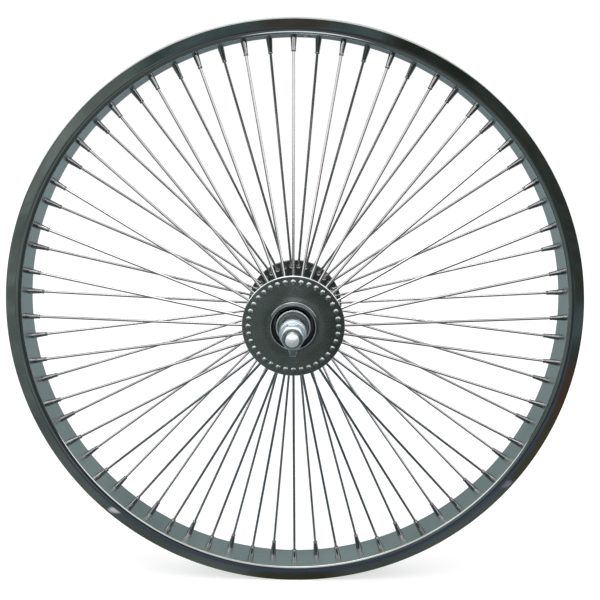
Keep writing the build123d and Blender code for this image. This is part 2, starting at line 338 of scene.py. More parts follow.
# Metals: darker and lighter tone, roughness, scale of the patches, scale and strength of the unevenness,
# and how metallic, where that isn't 1
METALS = {
    "rim_chrome": ((0.52, 0.535, 0.53), (0.58, 0.59, 0.585), (0.02, 0.06), 14, 45, 0.05),
    "rim_inside": ((0.42, 0.445, 0.435), (0.50, 0.52, 0.51), (0.25, 0.34), 22, 160, 0.10),
    "spoke_chrome": ((0.61, 0.57, 0.56), (0.71, 0.67, 0.66), (0.06, 0.14), 40, 900, 0.05),
    "head_chrome": ((0.50, 0.52, 0.50), (0.62, 0.63, 0.61), (0.24, 0.34), 90, 1200, 0.06),
    "nipple_chrome": ((0.345, 0.335, 0.33), (0.45, 0.44, 0.435), (0.05, 0.11), 90, 1200, 0.05),
    "hub_chrome": ((0.39, 0.41, 0.40), (0.47, 0.49, 0.48), (0.18, 0.28), 60, 1500, 0.04),
    # A lighter copy of the hub's chrome: painted highlight on the flanges' rolled edges
    "highlight_chrome": ((0.80, 0.82, 0.82), (0.88, 0.90, 0.90), (0.10, 0.18), 60, 1500, 0.05),
    # A dark copy of the hub's chrome: painted shade in the hub's recesses and on the flanges' inner faces
    "hub_shade": ((0.10, 0.11, 0.11), (0.15, 0.16, 0.16), (0.34, 0.46), 80, 1500, 0.10),
    "axle_steel": ((0.30, 0.33, 0.33), (0.42, 0.45, 0.45), (0.24, 0.36), 120, 2000, 0.10),
    # Near-black steel: the cones are far darker than the locknuts and axle beside them
    "darkest_steel": ((0.035, 0.035, 0.037), (0.06, 0.06, 0.062), (0.30, 0.45), 120, 2000, 0.10),
    # Also paints the highlights round the dust caps' and washers' edges
    "zinc_plate": ((0.78, 0.87, 0.93), (0.86, 0.92, 0.96), (0.25, 0.36), 150, 2200, 0.08, 0.75),
    # Also paints the highlight round the mouths of the hub's lips
    "axle_tip": ((0.84, 0.88, 0.93), (0.92, 0.94, 0.98), (0.26, 0.36), 150, 2200, 0.08, 0.45),
    # A darker copy of the zinc plating: painted shade on the faces of the dust caps, washers and nuts that
    # face along the axle
    "shaded_zinc": ((0.58, 0.63, 0.60), (0.68, 0.73, 0.70), (0.24, 0.36), 150, 2200, 0.08),
    "bearing_steel": ((0.50, 0.50, 0.51), (0.58, 0.58, 0.59), (0.08, 0.14), 200, 2500, 0.04),
}
PATCH_DETAIL = 5.0
FINE_DETAIL = 3.0
TONE_SPAN = (0.35, 0.65)
NOISE_SPAN = (0.3, 0.7)
BUMP_DISTANCE = 0.001

# Numbers of a colour blend's inputs and output
BLEND_UNDER = 6
BLEND_OVER = 7
BLEND_RESULT = 2


# Outlines and shapes

def shares(steps):
    """Even steps from 0 to 1."""
    return [step / steps for step in range(steps + 1)]


def even_clocks(count):
    """Clock angles all the way round."""
    return [index * 360 / count for index in range(count)]


def clock_point(radius, reach, degrees):
    """Point at a radius and a clock angle, seen from the near side with the axle along Y."""
    angle = math.radians(degrees)
    return Vector((radius * math.sin(angle), reach, radius * math.cos(angle)))


def curve(start, corner, end, steps):
    """Smooth turn from start to end that leaves and arrives along the lines to the corner."""
    points = []
    for t in shares(steps):
        points.append(tuple(s * (1 - t) ** 2 + c * 2 * t * (1 - t) + e * t ** 2
                            for s, c, e in zip(start, corner, end)))
    return points


def fillet(corners, steps):
    """Closed outline with round corners, from (radius, reach, size of the round) corners.
    A round takes less than half of the sides that it joins."""
    points = []
    for index, (x, y, size) in enumerate(corners):
        if size <= 0:
            points.append((x, y))
            continue
        here = Vector((x, y))
        before = Vector(corners[index - 1][:2]) - here
        after = Vector(corners[(index + 1) % len(corners)][:2]) - here
        half = before.angle(after) / 2
        back = min(size / math.tan(half), ROUND_SHARE * before.length, ROUND_SHARE * after.length)
        points += curve(here + before.normalized() * back, here, here + after.normalized() * back, steps)
    return points


def mirrored(points):
    """Both halves of an outline that is alike on both sides; a point on the mid-plane isn't repeated."""
    return points + [(radius, -reach) for radius, reach in reversed(points) if reach > 0]


def ring_round(centre, across, up, radius, sides):
    """Ring of points round a centre in the plane of two directions."""
    angles = [2 * math.pi * index / sides for index in range(sides)]
    return [centre + (across * math.cos(angle) + up * math.sin(angle)) * radius for angle in angles]


def grid(rows, closed):
    """Vertices and faces of a sheet of rows of points. Every row is a ring, and a closed sheet
    goes on from its last row to its first."""
    verts = [point for row in rows for point in row]
    count = len(rows[0])
    faces = []
    for row in range(len(rows) if closed else len(rows) - 1):
        here = row * count
        there = (row + 1) % len(rows) * count
        for index in range(count):
            follow = (index + 1) % count
            faces.append((here + index, here + follow, there + follow, there + index))
    return verts, faces


def cap(row, tip=None):
    """Fan that closes a ring of points at a tip, or else at the ring's middle."""
    count = len(row)
    if tip is None:
        tip = sum(row, Vector()) / count
    return row + [tip], [(index, (index + 1) % count, count) for index in range(count)]


def lathe(outline, side=1, segments=HUB_SEGMENTS):
    """Ring turned round the axle from its outline."""
    clocks = even_clocks(segments)
    rows = [[clock_point(radius, side * reach, clock) for clock in clocks] for radius, reach in outline]
    return grid(rows, True)


def joined(*shapes):
    """Several (vertices, faces) shapes as one."""
    verts = []
    faces = []
    for some_verts, some_faces in shapes:
        start = len(verts)
        verts += some_verts
        faces += [tuple(start + index for index in face) for face in some_faces]
    return verts, faces


def turned_copies(shape, first, count):
    """Copies of an upright shape, turned clockwise round the axle as seen from the near side."""
    verts, faces = shape
    copies = []
    for clock in even_clocks(count):
        angle = math.radians(first + clock)
        sine = math.sin(angle)
        cosine = math.cos(angle)
        turned = [Vector((p.x * cosine + p.z * sine, p.y, p.z * cosine - p.x * sine)) for p in verts]
        copies.append((turned, faces))
    return joined(*copies)


def both(make):
    """One shape from the pieces of the two sides."""
    return joined(*[make(side) for side in SIDE.values()])


# Nodes and materials

def feed(tree, node, inputs):
    """Gives a node's inputs, by name or number, the outputs of other nodes or fixed values."""
    for key, value in inputs.items():
        if isinstance(value, bpy.types.NodeSocket):
            tree.links.new(value, node.inputs[key])
        else:
            node.inputs[key].default_value = value


def add_node(tree, kind, inputs):
    """New node with its inputs."""
    node = tree.nodes.new(kind)
    feed(tree, node, inputs)
    return node


def calculate(tree, operation, *values):
    """Result of one operation on outputs of other nodes or fixed values."""
    node = tree.nodes.new("ShaderNodeMath")
    node.operation = operation
    feed(tree, node, dict(enumerate(values)))
    return node.outputs[0]


def distance(tree, place, centre):
    """Distance of a place from a fixed point."""
    node = tree.nodes.new("ShaderNodeVectorMath")
    node.operation = "DISTANCE"
    feed(tree, node, {0: place, 1: centre})
    return node.outputs["Value"]


def noise(tree, place, scale, detail):
    """Cloudy factor at a place."""
    node = add_node(tree, "ShaderNodeTexNoise", {"Vector": place, "Scale": scale, "Detail": detail})
    return node.outputs["Fac"]


def map_range(tree, value, source, target, interpolation="LINEAR"):
    """Value carried over from one range to another."""
    node = tree.nodes.new("ShaderNodeMapRange")
    node.interpolation_type = interpolation
    feed(tree, node, {
        "Value": value,
        "From Min": source[0], "From Max": source[1],
        "To Min": target[0], "To Max": target[1]})
    return node.outputs["Result"]


def soft_step(tree, value, span):
    """Factor that rises softly from 0 to 1 over a span of values."""
    return map_range(tree, value, span, (0, 1), "SMOOTHSTEP")


def blend(tree, factor, under, tone):
    """Colour that goes from the one under it to a tone as the factor goes from 0 to 1."""
    node = tree.nodes.new("ShaderNodeMix")
    node.data_type = "RGBA"
    feed(tree, node, {"Factor": factor, BLEND_UNDER: under, BLEND_OVER: (*tone, 1)})
    return node.outputs[BLEND_RESULT]


def seen_ray(tree):
    """Factor that is 1 for camera, glossy and transmission rays."""
    rays = tree.nodes.new("ShaderNodeLightPath").outputs
    first = calculate(tree, "MAXIMUM", rays["Is Camera Ray"], rays["Is Glossy Ray"])
    return calculate(tree, "MAXIMUM", first, rays["Is Transmission Ray"])


def new_material(name):
    """Material and its node tree."""
    material = bpy.data.materials.new(name)
    material.use_nodes = True
    return material, material.node_tree


def show_only(tree, surface):
    """Puts a surface in the place of the one that a new material has."""
    tree.nodes.remove(tree.nodes["Principled BSDF"])
    feed(tree, tree.nodes["Material Output"], {"Surface": surface})


def metal(name, dark, light, rough, patch_scale, bump_scale, bump, metallic=1.0):
    """Plated or bare metal: patchy tone, patchy gloss and fine unevenness."""
    material, tree = new_material(name)
    place = tree.nodes.new("ShaderNodeTexCoord").outputs["Object"]
    patches = noise(tree, place, patch_scale, PATCH_DETAIL)
    tone = add_node(tree, "ShaderNodeValToRGB", {"Fac": patches})
    for stop, position, colour in zip(tone.color_ramp.elements, TONE_SPAN, (dark, light)):
        stop.position = position
        stop.color = (*colour, 1)
    fine = noise(tree, place, bump_scale, FINE_DETAIL)
    uneven = add_node(tree, "ShaderNodeBump", {"Height": fine, "Strength": bump, "Distance": BUMP_DISTANCE})
    feed(tree, tree.nodes["Principled BSDF"], {
        "Base Color": tone.outputs["Color"],
        "Metallic": metallic,
        "Roughness": map_range(tree, patches, NOISE_SPAN, rough),
        "Normal": uneven.outputs["Normal"]})
    return material


METAL = {name: metal(name, *look) for name, look in METALS.items()}


# Pieces

def add_object(name, data):
    """Puts a new object into the scene."""
    made = bpy.data.objects.new(name, data)
    bpy.context.scene.collection.objects.link(made)
    return made


def solid_mesh(name, shape, tests=()):
    """Welded mesh in metres, with its normals outwards.
    A face gets the number of the last test that its radius and reach pass, or else 0, as its material."""
    verts, faces = shape
    mesh = bpy.data.meshes.new(name)
    mesh.from_pydata([point * MM for point in verts], [], faces)
    work = bmesh.new()
    work.from_mesh(mesh)
    bmesh.ops.remove_doubles(work, verts=work.verts, dist=WELD_DISTANCE)
    bmesh.ops.recalc_face_normals(work, faces=work.faces)
    for face in work.faces:
        middle = face.calc_center_median() / MM
        radius = math.hypot(middle.x, middle.z)
        for number, test in enumerate(tests, 1):
            if test(radius, abs(middle.y)):
                face.material_index = number
    work.to_mesh(mesh)
    work.free()
    return mesh


def piece(name, shape, body, nodes, material, others=()):
    """Finished mesh that rides a body and stands for some of its solids.
    Each of the others is a material with a test of a face's radius and reach."""
    mesh = solid_mesh(name, shape, [test for _, test in others])
    mesh.shade_smooth()
    mesh.set_sharp_from_angle(angle=SMOOTH_ANGLE)
    mesh.materials.append(METAL[material])
    for other, _ in others:
        mesh.materials.append(METAL[other])
    made = add_object(name, mesh)
    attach(made, body)
    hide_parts(*nodes)
    return made


# Rim

def rim_outline():
    """Rolled U section: crowned inner face, round corners, flat side walls, round edges and a drop centre."""
    face_end = RIM_HALF_WIDTH - RIM_CORNER_DEPTH
    bend_start = RIM_FACE_RADIUS + RIM_CORNER_HEIGHT
    wall_start = RIM_FACE_RADIUS + RIM_BEND_HEIGHT
    bend_reach = RIM_HALF_WIDTH - RIM_BEND_DEPTH
    wall_end = RIM_RADIUS - RIM_EDGE_ROUND
    half = [(RIM_FACE_RADIUS + RIM_FACE_CROWN * t * t, face_end * t) for t in shares(RIM_BEND_STEPS)]
    low = half[-1][0]
    slope = RIM_BEND_DEPTH / (wall_start - bend_start) * 2
    corner = (low, bend_reach - slope * (bend_start - low))
    half += curve((low, face_end), corner, (bend_start, bend_reach), RIM_BEND_STEPS)[1:]
    half += curve((bend_start, bend_reach), ((bend_start + wall_start) / 2, RIM_HALF_WIDTH),
                  (wall_start, RIM_HALF_WIDTH), RIM_BEND_STEPS)[1:]
    half += [(wall_start + (wall_end - wall_start) * t, RIM_HALF_WIDTH - RIM_WALL_CROWN * t * t)
             for t in shares(RIM_WALL_STEPS)[1:]]
    top = half[-1][1]
    middle = (top + RIM_CHANNEL) / 2
    half += curve((wall_end, top), (RIM_RADIUS, top), (RIM_RADIUS, middle), RIM_WALL_STEPS)[1:]
    half += curve((RIM_RADIUS, middle), (RIM_RADIUS, RIM_CHANNEL), (wall_end, RIM_CHANNEL),
                  RIM_WALL_STEPS)[1:]
    half += curve((BEAD_SEAT_RADIUS + BEAD_SEAT_ROUND, RIM_CHANNEL), (BEAD_SEAT_RADIUS, RIM_CHANNEL),
                  (BEAD_SEAT_RADIUS - SLANT_RISE, RIM_CHANNEL - SLANT_RUN), RIM_WELL_STEPS)
    half += curve((RIM_FLOOR_RADIUS + SLANT_RISE, WELL_HALF_WIDTH + SLANT_RUN),
                  (RIM_FLOOR_RADIUS, WELL_HALF_WIDTH),
                  (RIM_FLOOR_RADIUS, WELL_HALF_WIDTH - WELL_ROUND), RIM_WELL_STEPS)
    return mirrored(half + [(RIM_FLOOR_RADIUS, 0)])


def drill_valve_hole(target):
    """Cuts the valve hole through the rim's floor."""
    direction = clock_point(1, 0, VALVE_CLOCK)
    rows = [ring_round(direction * radius, direction.cross(ALONG), ALONG, VALVE_HOLE_RADIUS, VALVE_SIDES)
            for radius in (RIM_FACE_RADIUS - VALVE_OVERCUT, RIM_FLOOR_RADIUS + VALVE_OVERCUT)]
    plug = joined(grid(rows, False), cap(rows[0]), cap(rows[1]))
    cutter = add_object("valve_cutter", solid_mesh("valve_cutter", plug))
    cut = target.modifiers.new("valve_hole", "BOOLEAN")
    cut.operation = "DIFFERENCE"
    cut.object = cutter
    bpy.context.view_layer.update()
    result = bpy.data.meshes.new_from_object(target.evaluated_get(bpy.context.evaluated_depsgraph_get()))
    target.modifiers.clear()
    target.data = result
    result.set_sharp_from_angle(angle=SMOOTH_ANGLE)
    bpy.data.objects.remove(cutter)


rim = piece("rim_hoop", lathe(rim_outline(), segments=RIM_SEGMENTS), "wheel", ["rim"],
            "rim_chrome",
            [("rim_inside", lambda radius, reach: reach < RIM_HALF_WIDTH - RIM_CORNER_DEPTH)])
drill_valve_hole(rim)


# Spokes and nipples

def spoke_line(side):
    """Bend of the upright spoke, its crossing of the rim's face and its direction."""
    bend = clock_point(SPOKE_CIRCLE_RADIUS, side * SPOKE_BEND_REACH, 0)
    crossing = clock_point(RIM_FACE_RADIUS, side * NIPPLE_ROW_REACH, 0)
    return bend, crossing, (crossing - bend).normalized()


def upright_spoke(side):
    """Round wire with a smooth elbow behind the flange and a domed head on its outer face."""
    bend, crossing, direction = spoke_line(side)
    outwards = ALONG * side
    back = SPOKE_BEND_RADIUS / math.tan((math.pi - direction.angle(outwards)) / 2)
    elbow = curve(bend + direction * back, bend, bend + outwards * back, SPOKE_BEND_STEPS)
    path = [
        crossing - direction * (NIPPLE_SHOWN - SPOKE_IN_NIPPLE),
        crossing - direction * (NIPPLE_SHOWN + SPOKE_RING_GAP),
        *[Vector(point) for point in elbow],
        clock_point(SPOKE_CIRCLE_RADIUS, side * (FLANGE_REACH - SPOKE_END_DEPTH), 0)]
    rows = []
    for index, place in enumerate(path):
        ahead = path[min(index + 1, len(path) - 1)] - path[max(index - 1, 0)]
        rows.append(ring_round(place, ACROSS, ahead.normalized().cross(ACROSS), SPOKE_RADIUS, SPOKE_SIDES))
    base = clock_point(SPOKE_CIRCLE_RADIUS, side * FLANGE_REACH, 0)
    rows += [ring_round(base + outwards * height, ACROSS, outwards.cross(ACROSS), radius, SPOKE_SIDES)
             for radius, height in SPOKE_HEAD]
    head_top = cap(rows[-1], base + outwards * SPOKE_HEAD_HEIGHT)
    return joined(grid(rows, False), head_top, cap(rows[0]))


def upright_nipple(side):
    """Tapered nipple with a rolled collar at its mouth and a domed head inside the rim."""
    _, crossing, direction = spoke_line(side)
    mouth = crossing - direction * NIPPLE_SHOWN
    rows = [ring_round(mouth + direction * along, ACROSS, direction.cross(ACROSS), radius, NIPPLE_SIDES)
            for radius, along in NIPPLE_OUTLINE]
    return joined(grid(rows, False), cap(rows[-1]))


for name, side in SIDE.items():
    spokes = turned_copies(upright_spoke(side), FIRST_SPOKE[name], SPOKES_PER_FLANGE)
    piece(f"{name}_spoke_wires", spokes, "wheel", [f"{name}_spokes"], "spoke_chrome",
          [("head_chrome", lambda radius, reach: reach > FLANGE_REACH)])
    nipples = turned_copies(upright_nipple(side), FIRST_SPOKE[name], SPOKES_PER_FLANGE)
    piece(f"{name}_nipple_set", nipples, "wheel", [f"{name}_nipples"], "nipple_chrome")


# Hub shell and bearings

def barrel_outline():
    """Plain tube that reaches to the flanges' outer faces."""
    return mirrored([
        (BARREL_BORE_RADIUS, FLANGE_REACH),
        (BARREL_RADIUS, FLANGE_REACH),
        (BARREL_RADIUS, FLANGE_INNER_REACH)])


def flange_outline():
    """Pressed disc with a rolled edge and a shallow groove that sweeps up into a round lip, which opens
    outwards like a funnel."""
    return fillet([
        (BARREL_RADIUS + BARREL_GAP, FLANGE_INNER_REACH, 0),
        (FLANGE_RADIUS, FLANGE_INNER_REACH, FLANGE_ROUND),
        (FLANGE_RADIUS, FLANGE_REACH, FLANGE_ROUND),
        (LIP_RADIUS + GROOVE_WIDTH, FLANGE_REACH, GROOVE_ROUND),
        (LIP_RADIUS, FLANGE_REACH - GROOVE_DEPTH, LIP_FOOT_ROUND),
        (LIP_RADIUS, LIP_REACH, LIP_ROUND),
        (LIP_BORE_RADIUS + LIP_BEVEL, LIP_REACH, LIP_BEVEL_ROUND),
        (LIP_BORE_RADIUS, LIP_REACH - LIP_FUNNEL, LIP_BORE_ROUND),
        (LIP_BORE_RADIUS, FLANGE_REACH + BARREL_GAP, 0),
        (BARREL_RADIUS + BARREL_GAP, FLANGE_REACH + BARREL_GAP, 0),
    ], HUB_ROUND_STEPS)


def eyelet(side):
    """Raised round edge of an upright spoke's hole on the flange's inner face."""
    centre = clock_point(SPOKE_CIRCLE_RADIUS, side * FLANGE_INNER_REACH, 0)
    rows = [ring_round(centre - ALONG * side * height, ACROSS, UP, radius, EYELET_SIDES)
            for radius, height in EYELET_OUTLINE]
    return grid(rows, False)


def flange_disc(name):
    """Flange with the raised edges of its spoke holes."""
    side = SIDE[name]
    eyelets = turned_copies(eyelet(side), FIRST_SPOKE[name], SPOKES_PER_FLANGE)
    return joined(lathe(flange_outline(), side), eyelets)


def race(outwards):
    """Hollow that the balls run in: 1 for the cup's, outside them, or -1 for the cone's, inside them."""
    points = []
    for t in shares(RACE_STEPS):
        angle = math.radians(RACE_START + RACE_SWEEP * t)
        points.append((BALL_CIRCLE_RADIUS + outwards * RACE_RADIUS * math.sin(angle),
                       BALL_REACH - outwards * RACE_RADIUS * math.cos(angle)))
    return points


def cup_outline():
    """Pressed cup with a hollow race."""
    return CUP_FLOOR + race(1) + CUP_WALL


def cone_outline():
    """Cone with a hollow race and a ground shoulder."""
    hollow = [(radius, reach) for radius, reach in reversed(race(-1)) if radius <= CONE_RADIUS]
    return [
        (NUT_BORE_RADIUS, CONE_NOSE_REACH), CONE_RACE_FOOT, *hollow,
        (CONE_RADIUS, CONE_SHOULDER_REACH),
        (CONE_RADIUS, CONE_REACH - CONE_CHAMFER),
        (CONE_RADIUS - CONE_CHAMFER, CONE_REACH),
        (NUT_BORE_RADIUS, CONE_REACH)]


def dust_cap_outline():
    """Pressed disc with a round rolled edge and a shallow dish."""
    return fillet([
        (CAP_BORE_RADIUS, CAP_INNER_REACH, 0),
        (CAP_RADIUS, CAP_INNER_REACH, CAP_ROUND),
        (CAP_RADIUS, CAP_REACH, CAP_ROUND),
        (CAP_RADIUS - CAP_FLAT_WIDTH, CAP_REACH, CAP_FLAT_ROUND),
        (CAP_RADIUS - CAP_DISH_INSET, CAP_REACH - CAP_DISH_DEPTH, CAP_DISH_ROUND),
        (CAP_BORE_RADIUS, CAP_REACH - CAP_BORE_DEPTH, CAP_BORE_ROUND),
    ], CAP_ROUND_STEPS)


def ball_ring(side):
    """Ring of round balls."""
    centre = clock_point(BALL_CIRCLE_RADIUS, side * BALL_REACH, 0)
    rows = []
    for t in shares(BALL_RINGS)[1:-1]:
        height = BALL_RADIUS * math.cos(math.pi * t)
        radius = BALL_RADIUS * math.sin(math.pi * t)
        rows.append(ring_round(centre + UP * height, ACROSS, ALONG, radius, BALL_SIDES))
    poles = [cap(rows[0], centre + UP * BALL_RADIUS), cap(rows[-1], centre - UP * BALL_RADIUS)]
    return turned_copies(joined(grid(rows, False), *poles), 0, BALLS_PER_SIDE)


def barrel_in_shade(radius, reach):
    """Painted shade: the barrel's bore, and its ends inside the flanges."""
    return radius < BARREL_RADIUS - FACE_SLACK or reach > FLANGE_INNER_REACH


def flange_in_shade(radius, reach):
    """Painted shade: the flange's inner face, and the walls of its lip."""
    inner_face = reach < FLANGE_INNER_REACH + FLANGE_SHADE
    lip_wall = radius < LIP_RADIUS + FACE_SLACK and FLANGE_REACH < reach < LIP_REACH - FACE_SLACK
    return inner_face or lip_wall


def flange_edge(radius, reach):
    """The flange's outer rolled edge, painted with a highlight in a lighter chrome."""
    return radius > FLANGE_RADIUS - FLANGE_LINE_WIDTH and reach > FLANGE_REACH - FLANGE_ROUND


def lip_line(radius, reach):
    """Painted highlight: the bright line round the lip's mouth."""
    return radius < LIP_BORE_RADIUS + LIP_BEVEL + LIP_LINE_WIDTH and reach > LIP_REACH - LIP_LINE_DEPTH


piece("hub_tube", lathe(barrel_outline()), "wheel", ["hub_barrel"], "hub_chrome",
      [("hub_shade", barrel_in_shade)])
for name, side in SIDE.items():
    piece(f"{name}_flange_disc", flange_disc(name), "wheel", [f"{name}_flange"], "hub_chrome", [
        ("hub_shade", flange_in_shade),
        # The eyelets take the spoke heads' lighter chrome: painted highlight on the spoke holes' edges
        ("head_chrome", lambda radius, reach: reach < FLANGE_INNER_REACH - EYELET_START),
        ("highlight_chrome", flange_edge),
        ("axle_tip", lip_line)])
    piece(f"{name}_cup_ring", lathe(cup_outline(), side), "wheel", [f"{name}_bearing_cup"],
          "bearing_steel")
    piece(f"{name}_ball_set", ball_ring(side), "balls", [f"{name}_bearing_balls"],
          "bearing_steel")
    piece(f"{name}_cone_race", lathe(cone_outline(), side), "axle", [f"{name}_cone"],
          "darkest_steel")
    # The dust cap's face is painted with shade in the darker zinc, and its rolled edge with a highlight in
    # the bright zinc
    piece(f"{name}_cap_disc", lathe(dust_cap_outline(), side), "axle", [f"{name}_dust_cap"],
          "shaded_zinc",
          [("zinc_plate", lambda radius, reach: radius > CAP_RADIUS - CAP_LINE_WIDTH)])


# Axle, nuts and washers

def polar(rings, clocks, side):
    """Closed shell from rings that give a radius and a reach at every clock angle."""
    rows = []
    for ring in rings:
        places = [(*ring(clock), clock) for clock in clocks]
        rows.append([clock_point(radius, side * reach, clock) for radius, reach, clock in places])
    return grid(rows, True)


def hex_radius(clock):
    """Distance from the axle to a hexagon with a flat upper side, its corners a little turned off."""
    off = math.radians((clock + HEX_SECTOR / 2) % HEX_SECTOR - HEX_SECTOR / 2)
    return min(HEX_FLAT_RADIUS / math.cos(off), HEX_FLAT_RADIUS * HEX_CORNER)


def hex_chamfer(clock):
    """How far a turned chamfer cuts down at a clock angle."""
    return max(0.0, hex_radius(clock) - HEX_FLAT_RADIUS * HEX_CHAMFER_START) * HEX_CHAMFER_SLOPE


def tab_radius(clock):
    """Distance from the axle to the edge of the tab washer: a disc with a tab that hangs down."""
    off = abs(math.radians(clock - TAB_CLOCK))
    if off > TAB_LIMIT:
        return WASHER_RADIUS
    taper = (TAB_ROOT_HALF - TAB_TIP_HALF) / TAB_LENGTH
    along_side = TAB_ROOT_HALF / (math.sin(off) + taper * math.cos(off))
    return max(WASHER_RADIUS, min(TAB_LENGTH / math.cos(off), along_side))


def round_ring(radius, reach):
    """Ring that is the same at every clock angle."""
    return lambda clock: (radius, reach)


def hex_ring(inset, reach, chamfer=0):
    """Ring inside the hexagon's outline; a chamfer of 1 or -1 moves its corners out or in along the axle."""
    return lambda clock: (hex_radius(clock) - inset, reach + chamfer * hex_chamfer(clock))


def tab_ring(inset, reach):
    """Ring inside the tab washer's outline."""
    return lambda clock: (tab_radius(clock) - inset, reach)


def locknut(side):
    """Hexagon nut with turned chamfers on both faces and a countersunk bore."""
    face = HEX_FLAT_RADIUS * HEX_CHAMFER_START
    return polar([
        round_ring(NUT_BORE_RADIUS, LOCKNUT_INNER_REACH),
        round_ring(face, LOCKNUT_INNER_REACH),
        hex_ring(0, LOCKNUT_INNER_REACH, 1),
        hex_ring(0, LOCKNUT_REACH, -1),
        round_ring(face, LOCKNUT_REACH),
        round_ring(NUT_BORE_RADIUS + LOCKNUT_SINK, LOCKNUT_REACH),
        round_ring(NUT_BORE_RADIUS, LOCKNUT_REACH - LOCKNUT_SINK),
    ], even_clocks(HUB_SEGMENTS), side)


def collar_shoulder(clock):
    """Ring on top of the axle nut's collar, no nearer to the axle than the hexagon."""
    radius = max(NUT_COLLAR_RADIUS - COLLAR_SHOULDER_INSET, hex_radius(clock))
    return radius, NUT_COLLAR_REACH - COLLAR_SHOULDER_DEPTH


def axle_nut(side):
    """Tall hexagon nut with a round-edged collar, a turned chamfer and a countersunk bore."""
    collar_foot = [round_ring(NUT_COLLAR_RADIUS - inset, WASHER_OUTER_REACH + depth)
                   for inset, depth in COLLAR_FOOT_EDGE]
    collar_top = [round_ring(NUT_COLLAR_RADIUS - inset, NUT_COLLAR_REACH - depth)
                  for inset, depth in COLLAR_TOP_EDGE]
    return polar([
        round_ring(NUT_BORE_RADIUS, WASHER_OUTER_REACH),
        *collar_foot,
        *collar_top,
        collar_shoulder,
        hex_ring(0, NUT_COLLAR_REACH),
        hex_ring(0, NUT_COLLAR_REACH + HEX_FOOT_HEIGHT),
        *[hex_ring(inset, NUT_REACH - depth, -1) for inset, depth in NUT_TOP_EDGE],
        round_ring(HEX_FLAT_RADIUS * NUT_FACE, NUT_REACH),
        round_ring(NUT_BORE_RADIUS + NUT_SINK, NUT_REACH),
        round_ring(NUT_BORE_RADIUS, NUT_REACH - NUT_SINK),
    ], even_clocks(HUB_SEGMENTS), side)


def washer_clocks():
    """Clock angles with enough points at the tab's corners."""
    tip = math.degrees(math.atan2(TAB_TIP_HALF, TAB_LENGTH))
    offs = [tip * share for share in TAB_TIP_SHARES] + TAB_ROOT_CLOCKS
    tab = sorted({TAB_CLOCK - off for off in offs} | {TAB_CLOCK + off for off in offs})
    before = range(0, TAB_CLOCK - TAB_CLOCK_SPAN, WASHER_CLOCK_STEP)
    after = range(TAB_CLOCK + TAB_CLOCK_SPAN, 360, WASHER_CLOCK_STEP)
    return [*before, *tab, *after]


def tab_washer(side):
    """Stamped washer with round edges, its tab bent over into a hook."""
    plate = polar([
        round_ring(NUT_BORE_RADIUS, WASHER_REACH + WASHER_SINK),
        round_ring(NUT_BORE_RADIUS + WASHER_SINK, WASHER_REACH),
        *[tab_ring(inset, WASHER_REACH + depth) for inset, depth in WASHER_BACK_EDGE],
        *[tab_ring(inset, WASHER_OUTER_REACH - depth) for inset, depth in WASHER_FRONT_EDGE],
        round_ring(NUT_BORE_RADIUS + WASHER_SINK, WASHER_OUTER_REACH),
        round_ring(NUT_BORE_RADIUS, WASHER_OUTER_REACH - WASHER_SINK),
    ], washer_clocks(), side)
    strip = fillet([
        (TAB_TIP_HALF, 0, TAB_ROUND),
        (TAB_TIP_HALF, TAB_THICKNESS, TAB_ROUND),
        (-TAB_TIP_HALF, TAB_THICKNESS, TAB_ROUND),
        (-TAB_TIP_HALF, 0, TAB_ROUND),
    ], TAB_ROUND_STEPS)
    half = TAB_THICKNESS / 2
    levels = [(0, WASHER_REACH + half), (0, WASHER_REACH)]
    levels += [(inset, WASHER_REACH - TAB_HOOK + depth) for inset, depth in TAB_HOOK_EDGE]
    rows = []
    for inset, reach in levels:
        scale = 1 - inset / TAB_TIP_HALF
        rows.append([Vector((x * scale, side * reach, half - TAB_LENGTH + (z - half) * scale))
                     for x, z in strip])
    return joined(plate, grid(rows, False), cap(rows[0]), cap(rows[-1]))


def axle_radius(reach, clock):
    """Radius of the threaded rod; the helix fades out at its ends."""
    run_out = max(0.0, (AXLE_REACH - THREAD_STOP - reach) / THREAD_RUN_OUT)
    run_in = max(0.0, (reach - THREAD_START) / THREAD_RUN_IN)
    wave = 0.5 - 0.5 * math.cos(2 * math.pi * (reach / THREAD_PITCH - clock / 360))
    return AXLE_RADIUS - THREAD_DEPTH * min(1.0, run_out, run_in) * wave ** THREAD_SHARPNESS


def axle_half(side):
    """Half of the axle: plain middle, cut thread outside the locknut, crowned and centre-drilled end."""
    clocks = even_clocks(AXLE_SEGMENTS)
    step = THREAD_PITCH / THREAD_STEPS
    count = int((AXLE_REACH - AXLE_END_LENGTH - THREAD_START) / step)
    reaches = AXLE_PLAIN_REACHES + [THREAD_START + step * index for index in range(count + 1)]
    rows = [[clock_point(axle_radius(reach, clock), side * reach, clock) for clock in clocks]
            for reach in reaches]
    rows += [[clock_point(radius, side * (AXLE_REACH + place), clock) for clock in clocks]
             for radius, place in AXLE_END]
    return joined(grid(rows, False), cap(rows[-1]))


def washer_edge(radius, reach):
    """Painted highlight in the bright zinc: the washer's edge, between its two faces."""
    return WASHER_REACH + WASHER_LINE_START < reach < WASHER_OUTER_REACH - WASHER_LINE_STOP


piece("locknut_pair", both(locknut), "axle", ["locknuts"], "axle_steel")
piece("nut_pair", both(axle_nut), "axle", ["axle_nuts"], "zinc_plate",
      # The nut's outer face is painted with shade in the darker zinc
      [("shaded_zinc", lambda radius, reach: reach > NUT_REACH - FACE_SLACK)])
# The washers' faces are painted with shade in the darker zinc, and their edges with a highlight
piece("washer_pair", both(tab_washer), "axle", ["tab_washers"], "shaded_zinc",
      [("zinc_plate", washer_edge)])
piece("axle_rod", both(axle_half), "axle", ["axle"], "axle_steel",
      [("axle_tip", lambda radius, reach: reach > AXLE_REACH - AXLE_END_LENGTH)])


# Camera at the photograph's viewing angle

